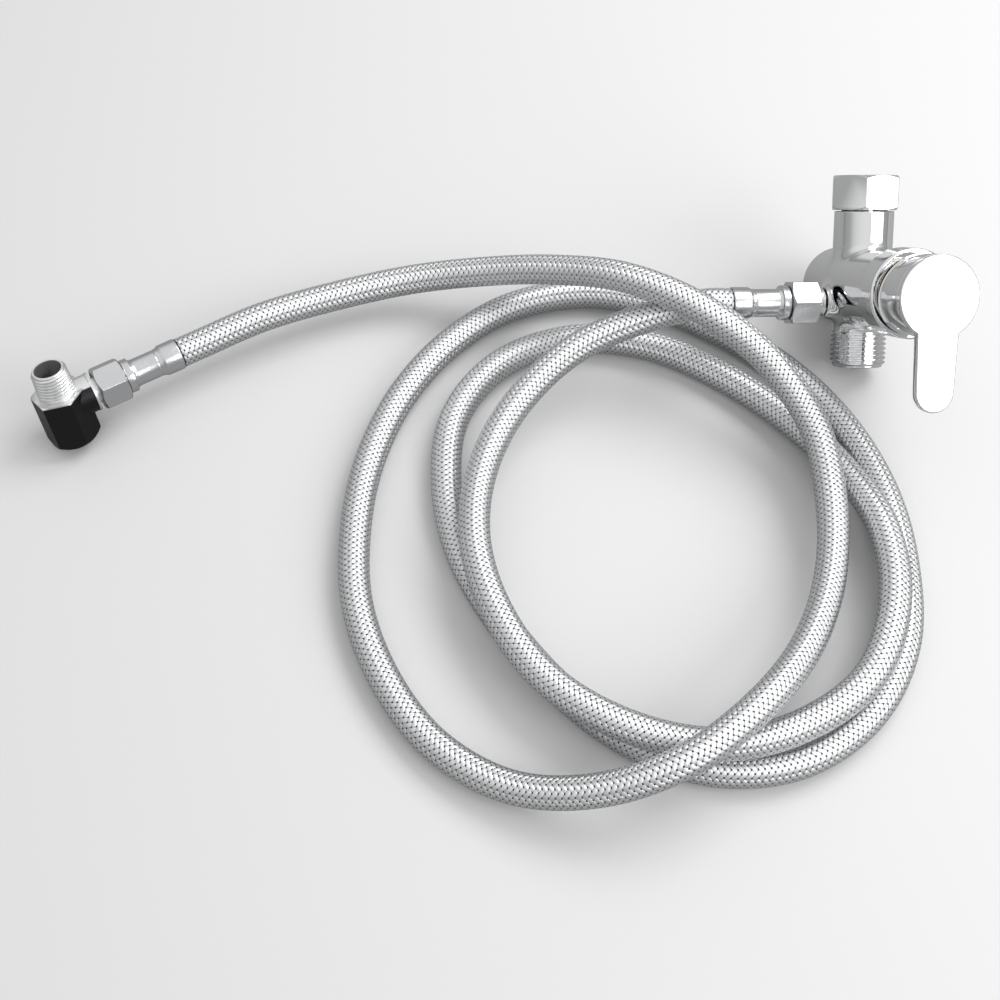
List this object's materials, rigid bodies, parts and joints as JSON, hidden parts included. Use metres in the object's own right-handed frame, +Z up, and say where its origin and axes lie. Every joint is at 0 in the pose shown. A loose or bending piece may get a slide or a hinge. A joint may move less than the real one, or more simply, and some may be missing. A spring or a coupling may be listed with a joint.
{
  "type": "mixing valve",
  "caption": "Single-lever mixing valve with a swivel inlet nut, a threaded outlet, and a braided feed hose that ends in a tee adaptor.",
  "frame": {"origin": "on the table, below the middle of the box round the valve without its hose", "axes": "+Z up from the table that the parts lie on, +X from the tee towards the valve, +Y away from the viewer, the way the inlet nut leans. The valve without its hose is longest along Y and shortest along X"},
  "size_m": [0.3408, 0.2445, 0.0864],
  "materials": {
    "chrome": "polished chrome over brass",
    "satin_steel": "turned stainless steel",
    "steel": "plain stainless steel",
    "braid": "stainless wire braid over a rubber tube",
    "dark_metal": "dark plated body with bright thread",
    "brass": "turned brass",
    "rubber": "black moulded rubber",
    "white_plastic": "moulded white plastic",
    "grey_plastic": "moulded grey plastic",
    "ceramic": "lapped white ceramic"
  },
  "bodies": {
    "root": {"valve_body": "chrome", "nut_retaining_ring": "steel", "cold_check_housing": "white_plastic", "cold_check_spring": "steel", "hot_check_housing": "white_plastic", "hot_check_spring": "steel", "base_seal_cold": "rubber", "base_seal_hot": "rubber", "base_seal_mixed": "rubber", "cartridge_base": "white_plastic", "cartridge_shell": "white_plastic", "fixed_disc": "ceramic", "ring_nut": "brass", "dome_ring": "chrome", "valve_hose_seal": "rubber", "valve_hose_tail": "steel", "valve_ferrule": "satin_steel", "hose": "braid", "tee_ferrule": "satin_steel", "tee_hose_tail": "steel", "tee_hose_seal": "rubber", "tee_body": "dark_metal"},
    "swivel_nut": {"inlet_nut": "chrome", "inlet_washer": "rubber"},
    "turning_cartridge": {"rotor": "white_plastic", "stem_pin": "steel"},
    "lever": {"stem": "brass", "handle": "chrome", "lever_screw": "steel", "screw_plug": "grey_plastic"},
    "sliding_disc": {"moving_disc": "ceramic", "disc_coupler": "grey_plastic"},
    "cold_poppet": {"cold_check_poppet": "grey_plastic"},
    "hot_poppet": {"hot_check_poppet": "grey_plastic"},
    "valve_end_nut": {"valve_hose_nut": "satin_steel"},
    "tee_end_nut": {"tee_hose_nut": "satin_steel"}
  },
  "joints": [
    {"name": "inlet_nut_turn", "type": "hinge", "parent": "root", "child": "swivel_nut", "pos_m": [-0.00048, 0.03854, 0.04651], "axis": [0, 0.7513, 0.66], "continuous": true},
    {"name": "handle_turn", "type": "hinge", "parent": "root", "child": "turning_cartridge", "pos_m": [0.00716, -0.012, 0.05979], "axis": [0.1736, -0.65, 0.7399], "range_deg": [-45, 45]},
    {"name": "handle_lift", "type": "hinge", "parent": "turning_cartridge", "child": "lever", "pos_m": [0.00716, -0.012, 0.05979], "axis": [-0.9848, -0.1146, 0.1305], "range_deg": [0, 20]},
    {"name": "disc_slide", "type": "slide", "parent": "turning_cartridge", "child": "sliding_disc", "axis": [0, -0.7513, -0.66], "range_m": [0, 0.0021]},
    {"name": "cold_check_open", "type": "slide", "parent": "root", "child": "cold_poppet", "axis": [0, -0.7513, -0.66], "range_m": [0, 0.0025], "stiffness_N_per_m": 60, "springref_m": -0.002, "deforming": ["cold_check_spring"]},
    {"name": "hot_check_open", "type": "slide", "parent": "root", "child": "hot_poppet", "axis": [0.9848, 0.1146, -0.1305], "range_m": [0, 0.0025], "stiffness_N_per_m": 60, "springref_m": -0.002, "deforming": ["hot_check_spring"]},
    {"name": "valve_hose_nut_turn", "type": "hinge", "parent": "root", "child": "valve_end_nut", "pos_m": [-0.02449, 0.00879, 0.02763], "axis": [-0.9848, -0.1146, 0.1305], "continuous": true},
    {"name": "tee_hose_nut_turn", "type": "hinge", "parent": "root", "child": "tee_end_nut", "pos_m": [-0.28799, -0.02144, 0.01683], "axis": [0.8511, 0.5236, -0.0384], "continuous": true}
  ],
  "couplings": [
    {"joint": "disc_slide", "follows": "handle_lift", "m_per_rad": 0.0059}
  ]
}
